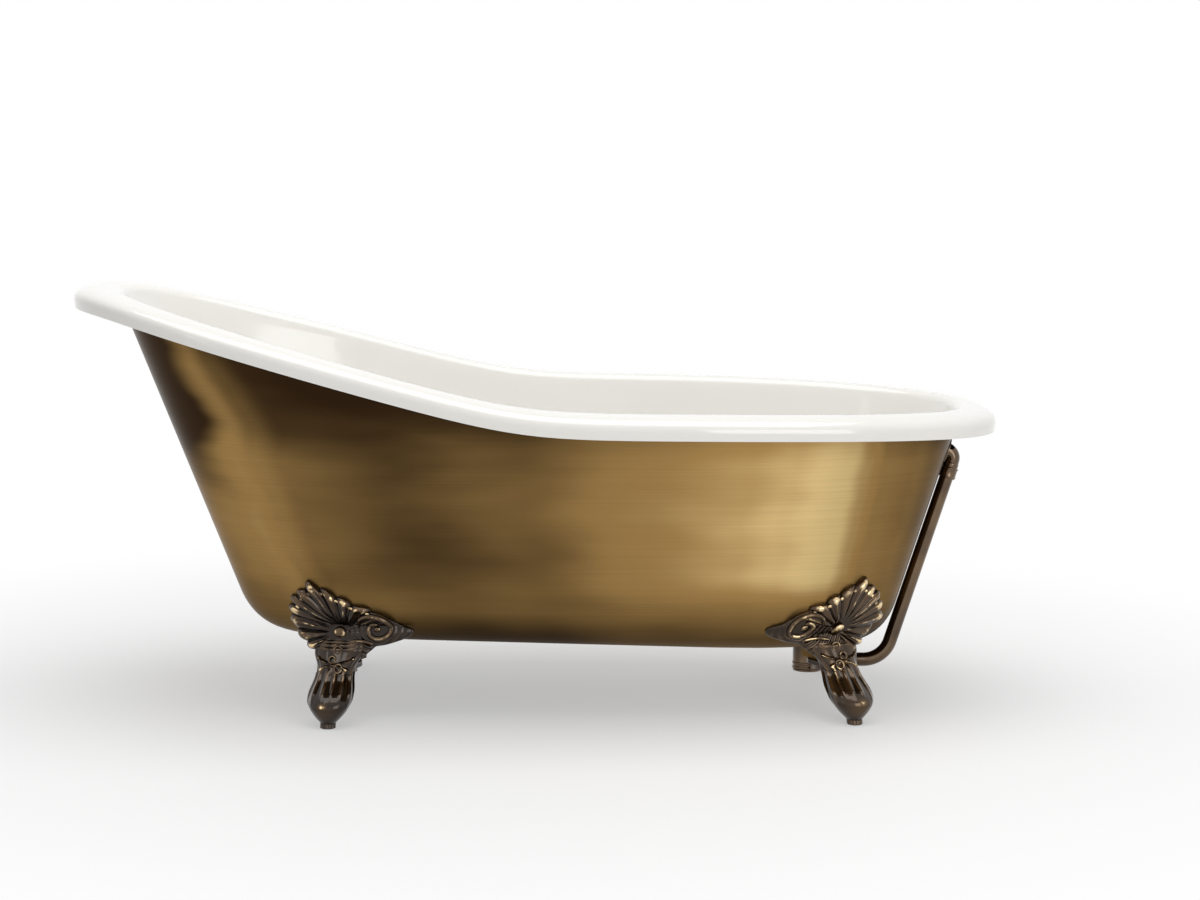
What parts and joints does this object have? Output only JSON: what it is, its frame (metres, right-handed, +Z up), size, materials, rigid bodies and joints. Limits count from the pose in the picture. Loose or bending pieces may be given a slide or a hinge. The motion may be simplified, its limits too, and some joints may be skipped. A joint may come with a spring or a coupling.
{
  "type": "bathtub",
  "caption": "Oval slipper bath of enamelled cast iron with a rolled rim, brushed bronze outside, claw feet, and a waste and overflow.",
  "frame": {"origin": "on the floor under the middle of the rim", "axes": "+X along the bath towards the drain end, +Y away from the side in the picture, +Z up"},
  "size_m": [1.7, 0.77, 0.7707],
  "materials": {
    "bronze_skin": "brushed antique bronze on cast iron",
    "enamel": "glossy white vitreous enamel",
    "foot_bronze": "glossy dark antique bronze",
    "aged_brass": "dark polished antique bronze",
    "bright_brass": "polished antique bronze",
    "plated_steel": "dull plated steel",
    "seal_rubber": "matt black"
  },
  "bodies": {
    "bath": {"tub_shell": "bronze_skin", "enamel_lining": "enamel", "foot_back_near": "foot_bronze", "foot_back_far": "foot_bronze", "foot_drain_near": "foot_bronze", "foot_drain_far": "foot_bronze", "foot_bolts": "plated_steel", "foot_washers": "plated_steel", "waste_flange": "bright_brass", "waste_flange_seal": "seal_rubber", "waste_under_seal": "seal_rubber", "waste_shoe": "aged_brass", "waste_outlet_bush": "aged_brass", "waste_outlet_seal": "seal_rubber", "stopper_post": "bright_brass", "overflow_faceplate": "bright_brass", "overflow_face_seal": "seal_rubber", "overflow_screws": "bright_brass", "overflow_elbow": "aged_brass", "overflow_elbow_seal": "seal_rubber", "overflow_top_nut": "aged_brass", "overflow_top_olive": "bright_brass", "overflow_tube": "aged_brass", "overflow_bottom_nut": "aged_brass", "overflow_bottom_olive": "bright_brass"},
    "stopper_lifter": {"stopper_seal": "seal_rubber"},
    "stopper": {"stopper_cap": "bright_brass", "stopper_knob": "bright_brass"}
  },
  "joints": [
    {"name": "stopper_lift", "type": "slide", "parent": "bath", "child": "stopper_lifter", "axis": [0, 0, 1], "range_m": [0, 0.01]},
    {"name": "stopper_turn", "type": "hinge", "parent": "stopper_lifter", "child": "stopper", "pos_m": [0.512, 0, 0.13], "axis": [0, 0, 1], "range_deg": [0, 90]}
  ]
}
